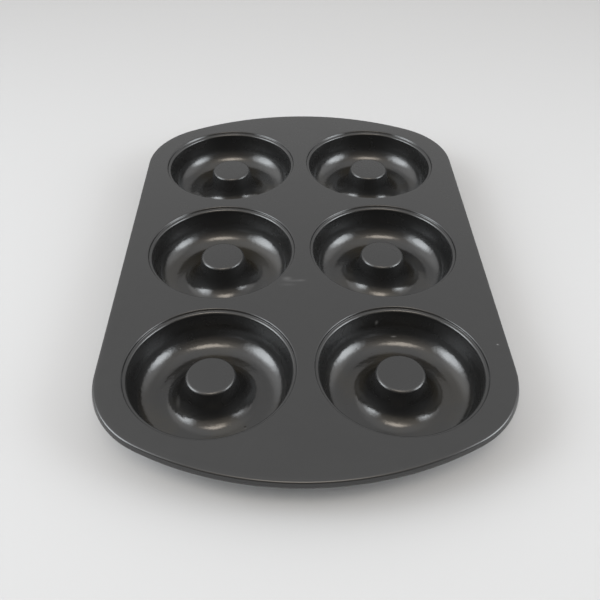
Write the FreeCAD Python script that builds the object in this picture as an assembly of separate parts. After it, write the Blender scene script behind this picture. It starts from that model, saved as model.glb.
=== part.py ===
import FreeCAD, Part
import math
import os

# A doughnut pan for six rings, pressed from one sheet of steel. A flat deck carries two columns of
# three ring-shaped cavities, each with a hollow post in its middle. All round the deck the sheet is
# turned down and curled in under its edge. Sizes are in millimetres and degrees. X runs across the
# pan, Y along it and Z up, and the origin is in the middle of the footprint, on the surface that the
# pan stands on.

# Driving dimensions
# The sheet. Every bend below is given by its inner radius, on the side where the sheet is hollow.
sheet = 0.6

# The grid of cavities; a gap lies between the steps of two neighbours
columns = 2
rows = 3
column_gap = 8.8
row_gap = 8.2

# The shallow step round each cavity, on its upper surface
ring_radius = 43.6
ring_land = 1.2
step_depth = 1.3
step_run = 0.5
step_round = 0.1
ledge_round = 0.3

# The cavity below the step, on its upper surface
ledge_width = 2.1
lip_round = 0.8
cavity_depth = 22.6
wall_draft = 3.0
floor_flat = 3.6

# The post in the cavity, on its upper surface. Its foot flares out to the flat floor in two bends.
post_radius = 12.5
post_drop = 5.0
post_draft = 12.0
post_round = 1.3
post_foot_radius = 25.0
post_foot_round = 9.0
flare_slope = 30.0

# The shortest flat run between two of a cavity's large bends
least_flat = 0.3

# The plan, measured over the rim; a margin lies between the outermost steps and the pan's edge
side_margin = 13.9
end_margin = 23.9
end_radius = 163.0
corner_radius = 50.0

# The turned-down and curled rim, on its outer surface
rim_height = 4.4
rim_lean = 15.0
shoulder_round = 0.6
foot_round = 0.9
curl_width = 3.9
curl_round = 0.6
curl_gap = 0.7

# What follows from the driving dimensions
lip_radius = ring_radius - ledge_width
column_pitch = 2 * ring_radius + column_gap
row_pitch = 2 * ring_radius + row_gap
pan_width = (columns - 1) * column_pitch + 2 * (ring_radius + side_margin)
pan_length = (rows - 1) * row_pitch + 2 * (ring_radius + end_margin)
deck_height = cavity_depth + sheet

upright = FreeCAD.Vector(0, 0, 1)


def vector(along, height):
    """A point of an upright section: its distance along the section and its height."""
    return FreeCAD.Vector(along, 0, height)


def polar(radius, angle):
    """A point in plan at a distance from the origin, with its angle from the X axis."""
    turn = math.radians(angle)
    return FreeCAD.Vector(radius * math.cos(turn), radius * math.sin(turn), 0)


def across(point):
    """The same point on the other side of the pan's long middle line."""
    return FreeCAD.Vector(-point.x, point.y, point.z)


def coated_side(start, end):
    """The direction from a run of the section's path to its coated face, square to the run."""
    run = (end - start).normalize()
    return FreeCAD.Vector(run.z, 0, -run.x)


def offset_corners(corners, distance):
    """The corners of the same path, moved away from the coated face by a distance square to each run."""
    sides = [coated_side(start, end) for start, end in zip(corners, corners[1:])]
    moved = []
    for corner, before, after in zip(corners, sides[:1] + sides, sides + sides[-1:]):
        bisector = (before + after).normalize()
        moved.append(corner - bisector * (distance / bisector.dot(before)))
    return moved


def rounded_path(corners, radii):
    """The edges of a path through corners, each inner corner rounded by its own radius."""
    edges = []
    start = corners[0]
    for place, radius in enumerate(radii, start=1):
        corner = corners[place]
        before = (corner - corners[place - 1]).normalize()
        after = (corners[place + 1] - corner).normalize()
        turn = before.getAngle(after)
        reach = radius * math.tan(turn / 2)
        arc_start = corner - before * reach
        arc_end = corner + after * reach
        inward = (after - before).normalize()
        arc_middle = corner + inward * (radius / math.cos(turn / 2) - radius)
        edges.append(Part.LineSegment(start, arc_start).toShape())
        edges.append(Part.Arc(arc_start, arc_middle, arc_end).toShape())
        start = arc_end
    edges.append(Part.LineSegment(start, corners[-1]).toShape())
    return edges


def sheet_section(corners, inner_radii):
    """The section of the sheet whose coated face runs through corners, bent at each inner one."""
    coated_radii, bare_radii = [], []
    for before, corner, after, radius in zip(corners, corners[1:], corners[2:], inner_radii):
        # Where the path turns towards its coated face, that face is the hollow one
        hollow = coated_side(before, corner).dot(after - corner) > 0
        coated_radii.append(radius if hollow else radius + sheet)
        bare_radii.append(radius + sheet if hollow else radius)
    bare = offset_corners(corners, sheet)
    ends = [Part.LineSegment(corners[place], bare[place]).toShape() for place in (0, -1)]
    edges = rounded_path(corners, coated_radii) + rounded_path(bare, bare_radii) + ends
    return Part.Face(Part.Wire(Part.__sortEdges__(edges)))


def cavity_corners():
    """The sharp corners of a cavity's upper surface, from the deck inwards to its axis."""
    wall_slope = math.tan(math.radians(wall_draft))
    post_slope = math.tan(math.radians(post_draft))
    flare = math.radians(flare_slope)
    # The foot's bend starts at the foot's radius, so the sharp corner that it rounds lies further in
    foot_x = post_foot_radius - post_foot_round * math.tan(flare / 2)
    post_x = post_radius + (cavity_depth - post_drop) * post_slope
    flare_height = (foot_x - post_x) / (1 / math.tan(flare) - post_slope)
    return [
        vector(ring_radius + ring_land, 0),
        vector(ring_radius, 0),
        vector(ring_radius - step_run, -step_depth),
        vector(lip_radius, -step_depth),
        vector(lip_radius - (cavity_depth - step_depth) * wall_slope, -cavity_depth),
        vector(foot_x, -cavity_depth),
        vector(post_x - flare_height * post_slope, flare_height - cavity_depth),
        vector(post_radius, -post_drop),
        vector(0, -post_drop),
    ]


def bend_reach(turn):
    """How far a bend of radius one reaches from its corner along either run."""
    return math.tan(math.radians(turn) / 2)


def wall_round(corners):
    """The radius of the bend from the wall to the floor, as round as the two allow."""
    lip, wall_foot = corners[3:5]
    reach = bend_reach(90 - wall_draft)
    floor_side = (wall_foot.x - post_foot_radius - floor_flat) / reach
    wall_side = (lip.distanceToPoint(wall_foot) - least_flat) / reach - (lip_round + sheet)
    return min(floor_side, wall_side)


def flare_round(corners):
    """The radius of the bend from the post to its foot, as round as the two allow."""
    foot, flare, post_top = corners[5:8]
    foot_side = foot.distanceToPoint(flare) - post_foot_round * bend_reach(flare_slope)
    post_side = flare.distanceToPoint(post_top) - (post_round + sheet) * bend_reach(90 - post_draft)
    return (min(foot_side, post_side) - least_flat) / bend_reach(90 - post_draft - flare_slope)


def cavity():
    """One cavity with the ring of deck round it, revolved about its own upright axis."""
    corners = cavity_corners()
    step_bends = [step_round, ledge_round, lip_round]
    post_bends = [post_foot_round, flare_round(corners), post_round]
    section = sheet_section(corners, step_bends + [wall_round(corners)] + post_bends)
    return section.revolve(FreeCAD.Vector(), upright, 360)


def cavity_centres():
    """The plan positions of the cavities' axes."""
    first_x = -column_pitch * (columns - 1) / 2
    first_y = -row_pitch * (rows - 1) / 2
    return [
        FreeCAD.Vector(first_x + column * column_pitch, first_y + row * row_pitch, 0)
        for row in range(rows)
        for column in range(columns)
    ]


class Plan:
    """The line in plan where the deck becomes the rim: sides, corners and ends, all tangent."""

    def __init__(self):
        self.side = pan_width / 2 - curl_width
        self.end_bend = end_radius - curl_width
        self.corner_bend = corner_radius - curl_width
        self.end_centre = FreeCAD.Vector(0, pan_length / 2 - end_radius, 0)
        corner_x = self.side - self.corner_bend
        between = self.end_bend - self.corner_bend
        corner_y = self.end_centre.y + math.sqrt(between ** 2 - corner_x ** 2)
        self.corner_centre = FreeCAD.Vector(corner_x, corner_y, 0)
        # The direction in which the corner's arc passes into the end's
        self.join_angle = math.degrees(math.atan2(corner_y - self.end_centre.y, corner_x))

    def face(self):
        """The area inside the line."""
        join = self.join_angle
        corner = [self.corner_centre + polar(self.corner_bend, angle) for angle in (0, join / 2, join)]
        end_top = self.end_centre + polar(self.end_bend, 90)
        side_start = FreeCAD.Vector(self.side, -self.corner_centre.y, 0)
        half = [
            Part.LineSegment(side_start, corner[0]).toShape(),
            Part.Arc(*corner).toShape(),
            Part.Arc(corner[-1], end_top, across(corner[-1])).toShape(),
            Part.Arc(*[across(point) for point in corner]).toShape(),
        ]
        # The other half is the same one, turned half a turn in plan
        other = [edge.rotated(FreeCAD.Vector(), upright, 180) for edge in half]
        return Part.Face(Part.Wire(Part.__sortEdges__(half + other)))


def rim_section():
    """The rim's section, from the curl's cut edge round to the deck, with the plan's line at zero."""
    lean = math.radians(rim_lean)
    # The foot's bend reaches furthest out, so the sharp corner that it rounds lies beyond the rim
    foot_x = curl_width + (foot_round + sheet) * ((1 + math.sin(lean)) / math.cos(lean) - 1)
    shoulder_x = foot_x - rim_height * math.tan(lean)
    corners = [
        vector(0, -sheet - curl_gap),
        vector(0, -rim_height),
        vector(foot_x, -rim_height),
        vector(shoulder_x, 0),
        vector(0, 0),
    ]
    return sheet_section(corners, [curl_round, foot_round, shoulder_round])


def rim(plan):
    """The rim along one side, one corner and one end, and their like on the pan's other sides."""
    section = rim_section()
    side = section.translated(FreeCAD.Vector(plan.side, -plan.corner_centre.y, 0))
    side = side.extrude(FreeCAD.Vector(0, 2 * plan.corner_centre.y, 0))

    corner = section.translated(plan.corner_centre + polar(plan.corner_bend, 0))
    corner = corner.revolve(plan.corner_centre, upright, plan.join_angle)

    end = section.translated(plan.end_centre + polar(plan.end_bend, 0))
    end.rotate(plan.end_centre, upright, plan.join_angle)
    end = end.revolve(plan.end_centre, upright, 180 - 2 * plan.join_angle)

    other_corner = corner.mirror(FreeCAD.Vector(), FreeCAD.Vector(1, 0, 0))
    half = [side, corner, end, other_corner]
    return half + [piece.rotated(FreeCAD.Vector(), upright, 180) for piece in half]


def pan():
    """The whole pressing as one solid, standing on the floors of its cavities."""
    plan = Plan()
    deck = plan.face().extrude(FreeCAD.Vector(0, 0, -sheet))
    opening = Part.makeCylinder(
        ring_radius + ring_land, 3 * sheet, FreeCAD.Vector(0, 0, -2 * sheet), upright
    )
    pressing = cavity()
    centres = cavity_centres()
    deck = deck.cut([opening.translated(centre) for centre in centres])
    cavities = [pressing.translated(centre) for centre in centres]
    solid = deck.fuse(cavities + rim(plan)).removeSplitter()
    solid.translate(FreeCAD.Vector(0, 0, deck_height))
    return solid


def main():
    os.makedirs("parts", exist_ok=True)
    shape = pan()
    box = shape.optimalBoundingBox(False, False)
    print("solids", len(shape.Solids), "valid", shape.isValid(), "faces", len(shape.Faces))
    print("size %.2f x %.2f x %.2f mm" % (box.XLength, box.YLength, box.ZLength))
    print("sheet metal %.2f cubic centimetres" % (shape.Volume / 1000))
    corners = cavity_corners()
    print("wall bend %.2f mm, flare bend %.2f mm" % (wall_round(corners), flare_round(corners)))
    shape.exportStep("parts/doughnut_pan.step")


main()
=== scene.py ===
# %% [markdown]
# This pan is one sheet of steel. A press drew six ring-shaped cavities into it, each with a hollow
# post in its middle, and then its edge was turned down and curled in. The whole sheet carries a dark
# non-stick coat. We model the sheet's upper surface, give it its thickness, and then spend most of
# our time on the coat and on the light, because a dark glossy pan is seen by what it reflects.

# %% Load the frame
import math

import bpy
from mathutils import Matrix, Vector


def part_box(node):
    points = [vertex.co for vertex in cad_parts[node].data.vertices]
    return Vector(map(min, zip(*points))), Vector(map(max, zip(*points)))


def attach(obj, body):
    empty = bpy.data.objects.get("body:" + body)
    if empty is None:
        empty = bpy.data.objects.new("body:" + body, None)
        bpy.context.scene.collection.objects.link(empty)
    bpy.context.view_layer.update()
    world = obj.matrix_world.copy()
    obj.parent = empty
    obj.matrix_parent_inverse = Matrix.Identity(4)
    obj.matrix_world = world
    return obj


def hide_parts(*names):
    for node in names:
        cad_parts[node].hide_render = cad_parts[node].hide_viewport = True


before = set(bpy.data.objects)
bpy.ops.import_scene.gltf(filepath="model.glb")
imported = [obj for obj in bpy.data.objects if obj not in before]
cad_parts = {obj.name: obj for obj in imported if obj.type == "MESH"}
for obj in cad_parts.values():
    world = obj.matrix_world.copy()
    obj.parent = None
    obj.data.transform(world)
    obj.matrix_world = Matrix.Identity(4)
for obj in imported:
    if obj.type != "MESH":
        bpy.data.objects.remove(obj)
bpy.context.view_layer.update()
pan_low, pan_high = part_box("doughnut_pan")
print("The pan's box runs from", tuple(pan_low), "to", tuple(pan_high))

# %% [markdown]
# The sheet is 0.6 mm thick all over. Blender counts in metres, so a factor lets us write sizes in
# millimetres. The height of the deck comes from the loaded frame, because both models of the pan have
# to agree on it. Every later step names its own sizes where it first needs them.

# %% Name the sheet's sizes
MM = 0.001

sheet = 0.6 * MM
deck_height = pan_high.z
cavity_depth = deck_height - sheet
print("The deck is", round(deck_height / MM, 1), "mm high")
print("A cavity is", round(cavity_depth / MM, 1), "mm deep")

# %% [markdown]
# A pressed sheet has no sharp corners: its section is straight runs joined by tangent arcs. A Bevel
# modifier could round a sharp mesh, but here nearly every bend has a radius of its own. So one helper
# takes the sharp corners and a radius for each, and returns the points of the rounded path. It serves
# the cavity and the rim alike.


# %% Round the corners of a path
def rounded_path(corners, bends, steps):
    """The points of a path through corners, with the given number of steps in each bend's arc."""
    points = [corners[0]]
    for place, (bend, count) in enumerate(zip(bends, steps), start=1):
        corner = corners[place]
        before = (corner - corners[place - 1]).normalized()
        after = (corners[place + 1] - corner).normalized()
        turn = before.angle(after)
        start = corner - before * bend * math.tan(turn / 2)
        inward = (after - before).normalized()
        centre = corner + inward * bend / math.cos(turn / 2)
        arm = start - centre
        side = before * bend
        for step in range(count + 1):
            angle = turn * step / count
            points.append(centre + arm * math.cos(angle) + side * math.sin(angle))
    points.append(corners[-1])
    return points


quarter_turn = rounded_path([Vector((0, 0)), Vector((1, 0)), Vector((1, 1))], [0.5], [8])
print("A square corner with one bend of eight steps has", len(quarter_turn), "points")

# %% [markdown]
# Geometry Nodes sweep one curve along another, so each section is kept as a curve and not as a mesh.
# It is only a helper: once the sheet is pressed, all the curves are removed.


# %% Turn points into a curve
def curve_object(name, points, closed=False):
    """A curve object of one straight-run spline through points in the XY plane."""
    data = bpy.data.curves.new(name, "CURVE")
    data.dimensions = "2D"
    spline = data.splines.new("POLY")
    spline.points.add(len(points) - 1)
    for target, point in zip(spline.points, points):
        target.co = (point.x, point.y, 0, 1)
    spline.use_cyclic_u = closed
    made = bpy.data.objects.new(name, data)
    bpy.context.scene.collection.objects.link(made)
    print("The curve", name, "has", len(points), "points")
    return made


# %% [markdown]
# From the deck inwards, the sheet drops over a shallow step to a narrow ledge, turns over the lip into
# a steep wall and comes down to the flat ring that the pan stands on. From there it flares up, gently
# at first and then steeply, and climbs the post to its flat top. All these are sizes of the upper
# surface. Where that surface is on the outside of a bend, the sheet's thickness adds to the radius.

# %% Name the cavity's sizes
# A draft is an angle from upright, and the flare's slope is one from level
ring_radius = 43.6 * MM
ring_land = 1.2 * MM
step_depth = 1.3 * MM
step_run = 0.5 * MM
step_round = 0.1 * MM + sheet
ledge_width = 2.1 * MM
ledge_round = 0.3 * MM

lip_radius = ring_radius - ledge_width
lip_round = 0.8 * MM + sheet
wall_draft = math.radians(3.0)
floor_flat = 3.6 * MM

post_radius = 12.5 * MM
post_drop = 5.0 * MM
post_draft = math.radians(12.0)
post_round = 1.3 * MM + sheet
post_foot_radius = 25.0 * MM
post_foot_round = 9.0 * MM
flare_slope = math.radians(30.0)
least_flat = 0.3 * MM
print("The lip is", round(2 * lip_radius / MM, 1), "mm across")
print("The post is", round(2 * post_radius / MM, 1), "mm across")

# %% [markdown]
# Highlights follow the bends, so the radius of a bend decides how wide its highlight is. Two bends are
# as wide as the room for them allows: the wall's, down to the flat ring, and the flare's, up to the
# post. Their radii could be found by trying, but there is a rule: a bend takes the same length from
# both of its runs, which is its radius times the tangent of half its turn.

# %% Work out the wide bends
wall_foot = lip_radius - (cavity_depth - step_depth) * math.tan(wall_draft)
wall_turn = math.pi / 2 - wall_draft
wall_bend = (wall_foot - post_foot_radius - floor_flat) / math.tan(wall_turn / 2)

# The foot's bend starts at the foot's radius, so the sharp corner that it rounds lies further in
foot_reach = post_foot_round * math.tan(flare_slope / 2)
foot_corner = post_foot_radius - foot_reach
# The post's side would meet the floor at this radius, if the flare didn't meet it higher up
post_line = post_radius + (cavity_depth - post_drop) * math.tan(post_draft)
flare_rise = (foot_corner - post_line) / (1 / math.tan(flare_slope) - math.tan(post_draft))
flare_corner = post_line - flare_rise * math.tan(post_draft)

# A short flat run stays between the foot's bend and the flare's
flare_room = flare_rise / math.sin(flare_slope) - foot_reach - least_flat
flare_turn = math.pi / 2 - post_draft - flare_slope
flare_bend = flare_room / math.tan(flare_turn / 2)
print("The wall bends with a radius of", round(wall_bend / MM, 2), "mm")
print("The flare bends with a radius of", round(flare_bend / MM, 2), "mm")

# %% [markdown]
# Now the sharp corners are listed from the deck inwards, and rounded. A wide bend gets more steps than
# a narrow one, because its highlight is broad and would show the steps. The section will be swept
# along the outer edge of the ring, so it is drawn outwards from there. The sweep turns a section
# upside down, so the section is drawn that way too.

# %% Draw the cavity's section
ring_edge = ring_radius + ring_land
cavity_corners = [
    Vector((ring_edge, 0)),
    Vector((ring_radius, 0)),
    Vector((ring_radius - step_run, -step_depth)),
    Vector((lip_radius, -step_depth)),
    Vector((wall_foot, -cavity_depth)),
    Vector((foot_corner, -cavity_depth)),
    Vector((flare_corner, flare_rise - cavity_depth)),
    Vector((post_radius, -post_drop)),
    Vector((0, -post_drop)),
]
cavity_bends = [step_round, ledge_round, lip_round, wall_bend, post_foot_round, flare_bend, post_round]
cavity_steps = [4, 3, 7, 16, 10, 10, 8]
cavity_points = rounded_path(cavity_corners, cavity_bends, cavity_steps)
cavity_section = curve_object(
    "cavity_section", [Vector((point.x - ring_edge, -point.y)) for point in cavity_points]
)

# %% [markdown]
# The edge of the sheet bends down sharply, leans out a little, and curls in and up again under the
# deck. The curl gives a thin pan its stiffness and hides the cut edge. It is a rounded path like the
# cavity's, drawn from the deck outwards. Its outermost point is at zero, so the sharp corner that the
# foot's bend rounds lies a little beyond.

# %% Draw the rim's section
rim_height = 4.4 * MM
rim_lean = math.radians(15.0)
shoulder_round = 0.6 * MM + sheet
foot_round = 0.9 * MM + sheet
curl_width = 3.9 * MM
curl_round = 0.6 * MM + sheet
curl_gap = 0.7 * MM

foot_x = foot_round * ((1 + math.sin(rim_lean)) / math.cos(rim_lean) - 1)
shoulder_x = foot_x - rim_height * math.tan(rim_lean)
rim_corners = [
    Vector((-curl_width, 0)),
    Vector((shoulder_x, 0)),
    Vector((foot_x, -rim_height)),
    Vector((-curl_width, -rim_height)),
    Vector((-curl_width, -sheet - curl_gap)),
]
rim_bends = [shoulder_round, foot_round, curl_round]
rim_steps = [7, 9, 7]
rim_points = rounded_path(rim_corners, rim_bends, rim_steps)
rim_section = curve_object(
    "rim_section", [Vector((point.x + curl_width, -point.y)) for point in rim_points]
)

# %% [markdown]
# Seen from above, the pan has two straight sides and two bowed ends, and an arc at each corner that
# is tangent to both. Its length and width come from the frame. A curve with handles could come close,
# but true arcs keep the curl's width even. We work out one quarter and mirror it, so the four corners
# are always alike.

# %% Draw the plan
half_width = pan_high.x
half_length = pan_high.y
end_radius = 163.0 * MM
corner_radius = 50.0 * MM


def plan_points(inset, corner_steps=14, end_steps=22):
    """The outline of the pan, moved inwards by an inset, anticlockwise from the right-hand side."""
    corner_bend = corner_radius - inset
    end_bend = end_radius - inset
    end_y = half_length - end_radius
    corner_x = half_width - corner_radius
    corner_y = end_y + math.sqrt((end_bend - corner_bend) ** 2 - corner_x ** 2)
    # Both arcs have the same direction where they meet
    join = math.atan2(corner_y - end_y, corner_x)
    quarter = []
    for step in range(corner_steps):
        angle = join * step / corner_steps
        quarter.append(
            Vector((corner_x + corner_bend * math.cos(angle), corner_y + corner_bend * math.sin(angle)))
        )
    for step in range(end_steps):
        angle = join + (math.pi / 2 - join) * step / end_steps
        quarter.append(Vector((end_bend * math.cos(angle), end_y + end_bend * math.sin(angle))))
    top = Vector((0, end_y + end_bend))
    half = quarter + [top] + [Vector((-point.x, point.y)) for point in reversed(quarter)]
    return half + [Vector((-point.x, -point.y)) for point in half]


plan = curve_object("plan", plan_points(curl_width), closed=True)

# %% [markdown]
# Both Geometry Nodes and shaders are trees of nodes. They can be wired by hand in the editor, but a
# script is easier to read and to repeat, so two small classes build either kind. The first, `Wire`,
# wraps a node's output and knows the arithmetic operators, so that maths with nodes reads like maths.


# %% Wrap an output
class Wire:
    """An output socket that can be used in an expression; each operator adds a Math node."""

    def __init__(self, tree, socket):
        self.tree = tree
        self.socket = socket

    def output(self, name):
        """Another output of the same node."""
        return Wire(self.tree, self.socket.node.outputs[name])

    def maths(self, operation, *values):
        """The result of a Math node for the given operation and values."""
        return self.tree.add("ShaderNodeMath", {"operation": operation}, dict(enumerate(values)))

    def __add__(self, other):
        return self.maths("ADD", self, other)

    def __sub__(self, other):
        return self.maths("SUBTRACT", self, other)

    def __rsub__(self, other):
        return self.maths("SUBTRACT", other, self)

    def __mul__(self, other):
        return self.maths("MULTIPLY", self, other)

    __radd__ = __add__
    __rmul__ = __mul__

    def passage(self, start, end):
        """0 before start and 1 past end, with a soft passage between them."""
        return self.tree.add(
            "ShaderNodeMapRange",
            {"interpolation_type": "SMOOTHSTEP"},
            {"Value": self, "From Min": start, "From Max": end, "To Min": 0.0, "To Max": 1.0},
        )


methods = [name for name in vars(Wire) if not name.startswith("_")]
print("Besides the operators, a wire knows", ", ".join(methods))

# %% [markdown]
# The second class, `Tree`, adds nodes. Its `add` makes a node from its type, its settings and what
# goes into its sockets, and returns the Wire of the node's first output. A small sample shows that an
# expression on a Wire really makes nodes.


# %% Add nodes to a tree
class Tree:
    """A node tree that is filled one node at a time."""

    def __init__(self, node_tree):
        self.node_tree = node_tree

    def add(self, kind, settings=None, sockets=None):
        """Adds a node; a Wire or a list of Wires is linked to its socket, any other value is set."""
        made = self.node_tree.nodes.new(kind)
        for name, value in (settings or {}).items():
            setattr(made, name, value)
        for name, value in (sockets or {}).items():
            if isinstance(value, (Wire, list)):
                for wire in value if isinstance(value, list) else [value]:
                    self.node_tree.links.new(wire.socket, made.inputs[name])
            else:
                made.inputs[name].default_value = value
        return Wire(self, made.outputs[0]) if made.outputs else made

    def size(self):
        """How many nodes the tree has."""
        return len(self.node_tree.nodes)


sample = Tree(bpy.data.node_groups.new("sample", "ShaderNodeTree"))
remainder = 1 - sample.add("ShaderNodeValue") * 2
print("1 - value * 2 makes", sample.size(), "nodes and ends in", remainder.socket.node.operation)
bpy.data.node_groups.remove(sample.node_tree)

# %% [markdown]
# The pan follows a rule: one section repeated round six circles, one curl along one outline, and a
# flat deck that fills what is left. Modelled by hand, it would have to be made again after each
# change of a size. So this is work for Geometry Nodes, and all that may change is a named input.

# %% Start the tree that presses the sheet
press_tree = Tree(bpy.data.node_groups.new("press the sheet", "GeometryNodeTree"))
press_inputs = {
    "Plan": "NodeSocketGeometry",
    "Cavity section": "NodeSocketObject",
    "Rim section": "NodeSocketObject",
    "Ring edge": "NodeSocketFloat",
    "Steps round a ring": "NodeSocketInt",
    "Columns": "NodeSocketInt",
    "Rows": "NodeSocketInt",
    "Column pitch": "NodeSocketFloat",
    "Row pitch": "NodeSocketFloat",
}
interface = press_tree.node_tree.interface
for name, kind in press_inputs.items():
    interface.new_socket(name=name, in_out="INPUT", socket_type=kind)
interface.new_socket(name="Sheet", in_out="OUTPUT", socket_type="NodeSocketGeometry")
given = press_tree.add("NodeGroupInput")
print("The tree has", len(press_inputs), "named inputs")

# %% [markdown]
# A cavity is round, so its section is swept along a circle. Spin or a Screw modifier would turn it
# about an axis just as well, but the circle is needed again: it is also the edge of the hole that the
# deck leaves for the cavity. The sweep leaves the faces looking down, so they are flipped.

# %% Sweep a cavity
cavity_curve = press_tree.add(
    "GeometryNodeObjectInfo", sockets={"Object": given.output("Cavity section")}
)
circle = press_tree.add(
    "GeometryNodeCurvePrimitiveCircle",
    sockets={"Resolution": given.output("Steps round a ring"), "Radius": given.output("Ring edge")},
)
swept = press_tree.add(
    "GeometryNodeCurveToMesh",
    sockets={"Curve": circle, "Profile Curve": cavity_curve.output("Geometry")},
)
cavity = press_tree.add("GeometryNodeFlipFaces", sockets={"Mesh": swept})
print("With one cavity the tree has", press_tree.size(), "nodes")

# %% [markdown]
# The six cavities are alike and stand on a grid of two columns and three rows. An Array modifier for
# each direction would repeat the mesh, but here the circles have to be repeated with it. So a grid is
# turned into points, and both the cavity and its circle are put on each of them.

# %% Repeat the cavity on a grid
grid = press_tree.add(
    "GeometryNodeMeshGrid",
    sockets={
        "Size X": given.output("Column pitch") * (given.output("Columns") - 1),
        "Size Y": given.output("Row pitch") * (given.output("Rows") - 1),
        "Vertices X": given.output("Columns"),
        "Vertices Y": given.output("Rows"),
    },
)
places = press_tree.add("GeometryNodeMeshToPoints", sockets={"Mesh": grid})
cavities = press_tree.add(
    "GeometryNodeInstanceOnPoints", sockets={"Points": places, "Instance": cavity}
)
circles = press_tree.add(
    "GeometryNodeInstanceOnPoints", sockets={"Points": places, "Instance": circle}
)
print("With the grid the tree has", press_tree.size(), "nodes")

# %% [markdown]
# The rim's section is swept along the plan, and the deck is what lies between the plan and the six
# circles. A Boolean could cut the holes out of a flat sheet, but Fill Curve fills just that area and
# uses the same points as the sweeps, so that the parts meet point for point.

# %% Sweep the rim and fill the deck
rim_curve = press_tree.add("GeometryNodeObjectInfo", sockets={"Object": given.output("Rim section")})
rim = press_tree.add(
    "GeometryNodeCurveToMesh",
    sockets={"Curve": given.output("Plan"), "Profile Curve": rim_curve.output("Geometry")},
)
outlines = press_tree.add(
    "GeometryNodeJoinGeometry", sockets={"Geometry": [given.output("Plan"), circles]}
)
loose_outlines = press_tree.add("GeometryNodeRealizeInstances", sockets={"Geometry": outlines})
deck = press_tree.add("GeometryNodeFillCurve", sockets={"Curve": loose_outlines})
print("With the rim and the deck the tree has", press_tree.size(), "nodes")

# %% [markdown]
# The real pan has no seams. Because its parts meet point for point here, merging the points that lie
# together leaves one sheet. It is shaded smooth and gets its material, which is still empty.

# %% Join the parts into one sheet
merge_distance = 0.005 * MM
coat = bpy.data.materials.new("nonstick_coat")
joined = press_tree.add("GeometryNodeJoinGeometry", sockets={"Geometry": [cavities, rim, deck]})
realized = press_tree.add("GeometryNodeRealizeInstances", sockets={"Geometry": joined})
merged = press_tree.add(
    "GeometryNodeMergeByDistance", sockets={"Geometry": realized, "Distance": merge_distance}
)
smooth = press_tree.add(
    "GeometryNodeSetShadeSmooth", sockets={"Geometry": merged, "Shade Smooth": True}
)
coated = press_tree.add("GeometryNodeSetMaterial", sockets={"Geometry": smooth, "Material": coat})
press_tree.add("NodeGroupOutput", sockets={"Sheet": coated})
print("The whole tree has", press_tree.size(), "nodes")

# %% [markdown]
# The tree works on the plan's curve. A modifier's input is known by its identifier, so we look that
# up for each of our names. A gap lies between the steps of two neighbouring cavities, and the pitch,
# from middle to middle, follows from it.

# %% Set the inputs of the tree
column_gap = 8.8 * MM
row_gap = 8.2 * MM
press_values = {
    "Cavity section": cavity_section,
    "Rim section": rim_section,
    "Ring edge": ring_edge,
    "Steps round a ring": 96,
    "Columns": 2,
    "Rows": 3,
    "Column pitch": 2 * ring_radius + column_gap,
    "Row pitch": 2 * ring_radius + row_gap,
}
pressed = bpy.data.objects.new("pressed_sheet", plan.data)
bpy.context.scene.collection.objects.link(pressed)
press = pressed.modifiers.new("press", "NODES")
press.node_group = press_tree.node_tree
for item in interface.items_tree:
    if item.in_out == "INPUT" and item.name in press_values:
        press[item.identifier] = press_values[item.name]
print("The columns are", round(press_values["Column pitch"] / MM, 1), "mm apart")
print("The rows are", round(press_values["Row pitch"] / MM, 1), "mm apart")

# %% [markdown]
# The tree made the upper surface only. The lower one could be drawn too, but Solidify adds it and
# closes the cut edge. It works inwards from the faces' normals, so every outer size stays as drawn.
# Then the result becomes a plain mesh and is lifted to stand on its cavities.

# %% Make the pan's mesh
crease_angle = math.radians(50)
thicken = pressed.modifiers.new("thickness", "SOLIDIFY")
thicken.thickness = sheet
thicken.offset = -1
thicken.use_even_offset = True

depsgraph = bpy.context.evaluated_depsgraph_get()
pan_mesh = bpy.data.meshes.new_from_object(pressed.evaluated_get(depsgraph), depsgraph=depsgraph)
pan_mesh.name = "pan"
pan_mesh.transform(Matrix.Translation((0, 0, deck_height)))
pan_mesh.set_sharp_from_angle(angle=crease_angle)
pan = bpy.data.objects.new("pan", pan_mesh)
bpy.context.scene.collection.objects.link(pan)
for helper in (pressed, plan, cavity_section, rim_section):
    bpy.data.objects.remove(helper)
print("The pan has", len(pan_mesh.vertices), "points and", len(pan_mesh.polygons), "faces")

# %% [markdown]
# The coat isn't the same all over. The press stretched it on the steep walls, which makes it duller
# there, it dried in faint waves wherever the sheet was drawn, and baking has browned the floors. Masks
# for this could be painted by hand, but all of it follows the height above the paper, so each mask is
# a soft passage between two heights. It reads Object coordinates, which belong to the pan and stay
# put in every view.

# %% Make masks from the height
coat.use_nodes = True
coat.node_tree.nodes.clear()
coat_tree = Tree(coat.node_tree)
place = coat_tree.add("ShaderNodeTexCoord").output("Object")
rise = coat_tree.add("ShaderNodeSeparateXYZ", sockets={"Vector": place}).output("Z")

# The height at which each passage is still 0, and the height at which it reaches 1
above_bend = (6.5 * MM, 9.0 * MM)
below_lip = (21.0 * MM, 19.5 * MM)
below_deck = (22.0 * MM, 20.5 * MM)
near_floor = (6.0 * MM, 1.0 * MM)
wall = rise.passage(*above_bend) * rise.passage(*below_lip)
drawn = rise.passage(*below_deck)
browned = rise.passage(*near_floor)
print("The coat is browned in the lowest", round(near_floor[0] / MM, 1), "mm")
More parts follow.
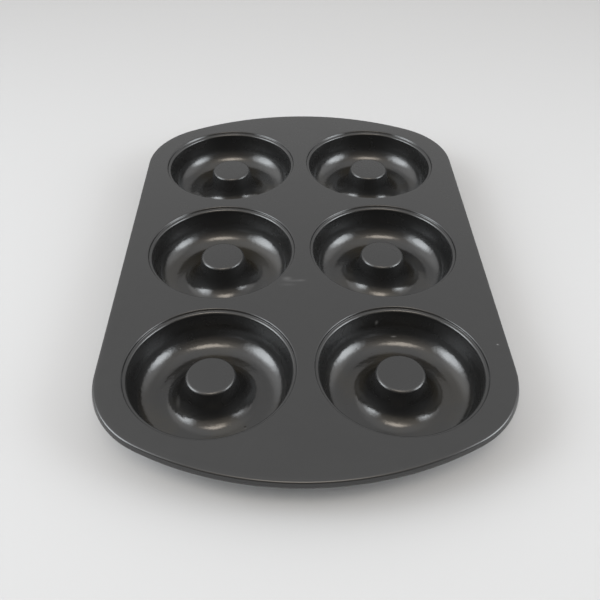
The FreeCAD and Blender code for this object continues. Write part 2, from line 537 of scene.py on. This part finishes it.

# %% [markdown]
# A used pan has marks of its own, and the eye takes them as proof that it is real. Scuffs are pale
# ovals, most of them on the deck. Three more pale ovals lie in the cavities: one on a far wall, one a
# painted glint and one a painted reflection of a streak of light. Two grains of dust were coated over
# and still stand up. The marks could be painted on an image, but so few are easier to place by formula:
# each is worked out from the distance to its middle, in units of its reach.


# %% Mark the coat
def mark(centre, reach):
    """1 in the middle of an oval mark and 0 beyond its reach along X, Y and Z, in millimetres."""
    middle = tuple(length * MM for length in centre)
    reaches = tuple(length * MM for length in reach)
    offset = coat_tree.add("ShaderNodeVectorMath", {"operation": "SUBTRACT"}, {0: place, 1: middle})
    share = coat_tree.add("ShaderNodeVectorMath", {"operation": "DIVIDE"}, {0: offset, 1: reaches})
    away = coat_tree.add("ShaderNodeVectorMath", {"operation": "LENGTH"}, {0: share}).output("Value")
    return away.passage(1.0, 0.0)


# The middle and the reach of each coated grain of dust
dust_grains = [
    ((-30.2, -115.0, 0.6), (1.1, 1.1, 1.1)),
    ((99.4, -81.5, 23.2), (1.0, 1.0, 1.0)),
]
dust = sum(mark(centre, reach) for centre, reach in dust_grains)
# The middle and the reach of each pale mark, scuffs and painted light alike, and how much lighter it is
scuffs_and_painted_glints = [
    ((-9.3, -27.6, 23.2), (4.0, 2.3, 1.0), 0.036),
    ((-6.0, -29.5, 23.2), (9.0, 1.6, 1.0), 0.02),
    ((-1.0, -29.3, 23.2), (3.8, 1.5, 1.0), 0.02),
    ((-8.7, -32.8, 23.2), (6.5, 1.8, 1.0), 0.014),
    # A painted reflection: a pale streak of mirrored light low in a cavity
    ((-65.2, -100.5, 3.5), (2.0, 6.0, 2.6), 0.03),
    ((39.8, -55.1, 14.3), (1.4, 2.0, 2.4), 0.07),
    # A painted glint low on the bend of a cavity's far wall
    ((49.8, -57.2, 5.3), (2.3, 0.6, 0.6), 0.13),
    ((99.2, -81.3, 23.2), (0.8, 0.6, 0.6), 0.16),
]
scuff_and_glint_lightening = sum(mark(centre, reach) * lighter for centre, reach, lighter in scuffs_and_painted_glints)
print("The coat carries", len(scuffs_and_painted_glints), "scuffs and", len(dust_grains), "grains of dust")

# %% [markdown]
# Up close the coat is like orange peel: slow waves, a fine grain, and here and there a pimple where
# it gathered as it dried. Displacement could raise all this, but it is too shallow to be worth its
# faces. A Bump node turns the heights into tilted normals, and that is what makes the edges of the
# highlights a little uneven.

# %% Raise the relief
wave_height = 0.07 * MM
grain_height = 0.006 * MM
# How far the pimples and the coated dust stand up, in units of the waves' height
pimple_lift = 0.6
dust_lift = 3.5
# How far a pimple's edge and its flat top are from its middle, in units of a cell
pimple_edge = 0.12
pimple_top = 0.02

wave = coat_tree.add("ShaderNodeTexNoise", sockets={"Vector": place, "Scale": 380.0, "Detail": 2.0})
cells = coat_tree.add("ShaderNodeTexVoronoi", sockets={"Vector": place, "Scale": 230.0})
pimples = cells.passage(pimple_edge, pimple_top)
relief = (wave + pimples * pimple_lift) * drawn + dust * dust_lift
waves = coat_tree.add("ShaderNodeBump", sockets={"Distance": wave_height, "Height": relief})

grain = coat_tree.add("ShaderNodeTexNoise", sockets={"Vector": place, "Scale": 1500.0, "Detail": 2.0})
bump = coat_tree.add(
    "ShaderNodeBump", sockets={"Distance": grain_height, "Height": grain, "Normal": waves}
)
print("The waves are up to", round(wave_height / MM, 3), "mm high")
print("The grain is up to", round(grain_height / MM, 3), "mm high")

# %% [markdown]
# The coat itself is nearly black. The flat deck is a shade lighter than everything below it, which is
# painted darker as shade in the cavities and under the rim, and the floors have brown patches where fat
# has baked on. A colour ramp could turn a mask into a colour, but three masks act here at once. So the
# three numbers of the colour are worked out one by one and put together at the end.

# %% Mix the colour
deck_grey = 0.0055
# How much darker everything below the deck is painted, as shade in the cavities and under the rim
painted_shade_below_deck = 0.0025
stain_red = 0.006
stain_green = 0.004
# The noise below which the floor is clean, and the noise at which it is fully browned
stained = (0.4, 0.62)

patches = coat_tree.add("ShaderNodeTexNoise", sockets={"Vector": place, "Scale": 28.0, "Detail": 3.0})
stain = browned * patches.passage(*stained)
# The pale marks lighten the grey, for the scuffs and for the painted glint and reflection
grey = deck_grey - drawn * painted_shade_below_deck + scuff_and_glint_lightening
colour = coat_tree.add(
    "ShaderNodeCombineColor",
    sockets={"Red": grey + stain * stain_red, "Green": grey + stain * stain_green, "Blue": grey},
)
print("The deck's grey is", deck_grey, "and the cavities'", round(deck_grey - painted_shade_below_deck, 4))

# %% [markdown]
# Non-stick coat has two kinds of gloss at once. Its hard glaze reflects lamps almost crisply, and the
# fine filler in it scatters part of the light into a wide haze round each highlight. One roughness
# can't do both, so two shaders are mixed, and a cloudy noise lets the share of haze wander.

# %% Mix the glaze and the haze
coat_ior = 1.7
haze_roughness = 0.55
# The glaze's own roughness, and what the cloudy noise and the walls add to it
glaze_roughness = 0.12
cloud_roughness = 0.06
wall_roughness = 0.12
# The least share of haze, and what the cloudy noise adds to it
haze_share = 0.16
haze_drift = 0.24

cloud = coat_tree.add("ShaderNodeTexNoise", sockets={"Vector": place, "Scale": 60.0, "Detail": 4.0})
glaze = coat_tree.add(
    "ShaderNodeBsdfPrincipled",
    sockets={
        "Base Color": colour,
        "Roughness": glaze_roughness + cloud * cloud_roughness + wall * wall_roughness,
        "IOR": coat_ior,
        "Normal": bump,
    },
)
haze = coat_tree.add(
    "ShaderNodeBsdfPrincipled",
    sockets={"Base Color": colour, "Roughness": haze_roughness, "IOR": coat_ior, "Normal": bump},
)
finish = coat_tree.add(
    "ShaderNodeMixShader", sockets={0: haze_share + cloud * haze_drift, 1: glaze, 2: haze}
)
coat_tree.add("ShaderNodeOutputMaterial", sockets={"Surface": finish})
print("The coat's tree has", coat_tree.size(), "nodes")

# %% [markdown]
# The pan stands on plain pale paper, which is part of the stage and not of the object. Paper is matt,
# so a Diffuse shader is enough for it. Its grey is chosen so that it comes out nearly white, but not
# clipped, under these lamps.

# %% Lay the paper
paper_size = 4.0
paper_colour = (0.46, 0.462, 0.468, 1)

half = paper_size / 2
corners = [(-half, -half, 0), (half, -half, 0), (half, half, 0), (-half, half, 0)]
floor_mesh = bpy.data.meshes.new("paper")
floor_mesh.from_pydata(corners, [], [(0, 1, 2, 3)])
floor = bpy.data.objects.new("paper", floor_mesh)
bpy.context.scene.collection.objects.link(floor)
paper = bpy.data.materials.new("paper")
paper.use_nodes = True
paper.node_tree.nodes.clear()
paper_tree = Tree(paper.node_tree)
matt = paper_tree.add("ShaderNodeBsdfDiffuse", sockets={"Color": paper_colour})
paper_tree.add("ShaderNodeOutputMaterial", sockets={"Surface": matt})
floor_mesh.materials.append(paper)
print("The paper is", paper_size, "m wide")

# %% [markdown]
# Lamps, glows and the camera are easiest to place as a photographer would: so far round the pan, and
# so high above the table. One helper turns those two angles into a direction.


# %% Turn angles into a direction
def direction(azimuth, elevation):
    """A direction as seen from the pan; azimuth 0 is the front and 90 the right."""
    turn, tilt = math.radians(azimuth), math.radians(elevation)
    return Vector((math.sin(turn) * math.cos(tilt), -math.cos(turn) * math.cos(tilt), math.sin(tilt)))


print("From the front, halfway up, is", tuple(round(part, 2) for part in direction(0, 45)))

# %% [markdown]
# A soft box could be a glowing mesh, but an area lamp renders with less noise. Its spread is kept
# narrow, as a grid in front of a real soft box does, so that less light falls to the sides. Blender
# keeps the lamp's whole output when it narrows the spread, so the lamp would get brighter straight
# ahead, and the energy makes up for that.

# %% Make an oval lamp
lamp_spread = math.radians(105)
# How much brighter straight ahead a lamp is with this spread than with a full one
gathered = math.tan(lamp_spread / 2) / (math.tan(lamp_spread / 2) - lamp_spread / 2)


def lamp(name, away, distance, width, height, brightness, tone):
    """An oval lamp that faces the deck; brightness is its radiance straight ahead, where 1 is white."""
    area = math.pi * width * height / 4
    light = bpy.data.lights.new(name, "AREA")
    light.shape = "ELLIPSE"
    light.size = width
    light.size_y = height
    light.energy = brightness * math.pi * area / gathered
    light.color = tone
    light.spread = lamp_spread
    made = bpy.data.objects.new(name, light)
    made.location = Vector((0, 0, deck_height)) + away * distance
    made.rotation_euler = away.to_track_quat("Z", "Y").to_euler()
    made.visible_camera = False
    bpy.context.scene.collection.objects.link(made)


print("The spread makes a lamp", round(gathered, 2), "times as bright straight ahead")

# %% [markdown]
# Two cool soft boxes stand left and right of the pan, and a long warm lamp hangs in front of it and
# above. They make the paired spots and the warm arcs in every cavity. A soft box is brightest in its
# middle, so each is three oval lamps, one before the other, with 4 mm between them: lamps in one
# plane would hide one another.

# %% Hang the soft boxes
cool = (0.91, 0.96, 1.0)
warm = (1.0, 0.9, 0.78)
# Direction, distance, width, height, brightness and colour, with sizes in metres
softboxes = {
    "right_softbox": (direction(74, 25.5), 1.09, 0.95, 0.95, 8.2, cool),
    "left_softbox": (direction(-79, 30), 1.14, 1.16, 1.16, 8.2, cool),
    "ceiling_lamp": (direction(0, 66.5), 2.0, 1.6, 0.75, 6.4, warm),
}
# The size of each layer of a soft box, and its share of the brightness
layers = ((1.0, 0.18), (0.78, 0.37), (0.54, 0.45))
layer_gap = 4.0 * MM
for name, (away, distance, width, height, brightness, tone) in softboxes.items():
    for layer, (size, share) in enumerate(layers):
        nearer = distance - layer * layer_gap
        lamp(name, away, nearer, width * size, height * size, brightness * share, tone)
print("The", len(softboxes), "soft boxes have", len(layers), "layers each")

# %% [markdown]
# Everything between the highlights mirrors the room. A photographed room could be loaded as an image,
# but a simple one is painted on the world with a few masks: bright behind the pan, dark low in front,
# where the camera stands, and lighter again above it. The far walls of the cavities face the dark
# front, and that is what makes them look black.

# %% Paint the walls and the ceiling
world = bpy.data.worlds.new("room")
bpy.context.scene.world = world
world.use_nodes = True
world.node_tree.nodes.clear()
room_tree = Tree(world.node_tree)
towards = room_tree.add("ShaderNodeTexCoord").output("Generated")
parts = room_tree.add("ShaderNodeSeparateXYZ", sockets={"Vector": towards})
up = parts.output("Z")
front = parts.output("Y").passage(0.05, -0.55)

# How bright each wall is low down and what it gains further up, where 1 is white
back_low = 0.42
back_gain = 0.43
front_low = 0.1
front_gain = 0.15
front_top_gain = 0.55
ceiling_brightness = 1.1

back_wall = back_low + up.passage(0.0, 0.5) * back_gain
front_wall = front_low + up.passage(0.22, 0.5) * front_gain + up.passage(0.55, 0.85) * front_top_gain
ceiling = up.passage(0.8, 0.97)
walls = back_wall + front * (front_wall - back_wall)
room = walls + ceiling * (ceiling_brightness - walls)
print("The walls and the ceiling take", room_tree.size(), "nodes")

# %% [markdown]
# The soft boxes also light the side walls near them, and the pan mirrors that as a soft glow. Real
# walls would do it, but would slow the render down. A glow depends only on the angle between the
# direction looked in and its own middle, which a dot product gives.


# %% Add the glows and finish the room
def glow(azimuth, elevation, edge, core):
    """A round patch of light about a direction; it fades from its core's angle out to its edge's."""
    middle = tuple(direction(azimuth, elevation))
    near = room_tree.add("ShaderNodeVectorMath", {"operation": "DOT_PRODUCT"}, {0: towards, 1: middle})
    return near.output("Value").passage(math.cos(math.radians(edge)), math.cos(math.radians(core)))


left_brightness = 0.85
right_brightness = 0.8
left_glow = glow(-112, 38, 34, 3) * left_brightness
right_glow = glow(100, 30, 32, 3) * right_brightness
room_light = room + left_glow + right_glow

# The front of the room is a little warmer than the rest
front_redder = 0.1
front_less_blue = 0.12
tint = room_tree.add(
    "ShaderNodeCombineColor",
    sockets={"Red": 1.0 + front * front_redder, "Green": 1.0, "Blue": 1.0 - front * front_less_blue},
)
background = room_tree.add("ShaderNodeBackground", sockets={"Color": tint, "Strength": room_light})
room_tree.add("ShaderNodeOutputWorld", sockets={"Surface": background})
print("The room's tree has", room_tree.size(), "nodes")

# %% [markdown]
# The camera looks down on the pan from the front, a little to the left of its middle line. Its place
# and lens were worked out from how the six round cavities look in the photograph.

# %% Set up the camera
camera_azimuth = -0.88
camera_elevation = 42.6
camera_distance = 392.6 * MM
camera_target = Vector((-2.1 * MM, -45.85 * MM, deck_height))
camera_data = bpy.data.cameras.new("camera")
camera_data.sensor_width = 36.0
camera_data.lens = 42.8
camera_data.clip_start = 0.01
camera = bpy.data.objects.new("camera", camera_data)
back = direction(camera_azimuth, camera_elevation)
camera.location = camera_target + back * camera_distance
camera.rotation_euler = back.to_track_quat("Z", "Y").to_euler()
bpy.context.scene.collection.objects.link(camera)
bpy.context.scene.camera = camera
bpy.context.scene.view_settings.view_transform = "Standard"
print("The camera stands", round(camera_distance, 3), "m from the point that it looks at")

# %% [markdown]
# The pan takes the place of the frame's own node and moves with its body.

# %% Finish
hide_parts("doughnut_pan")
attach(pan, "root")
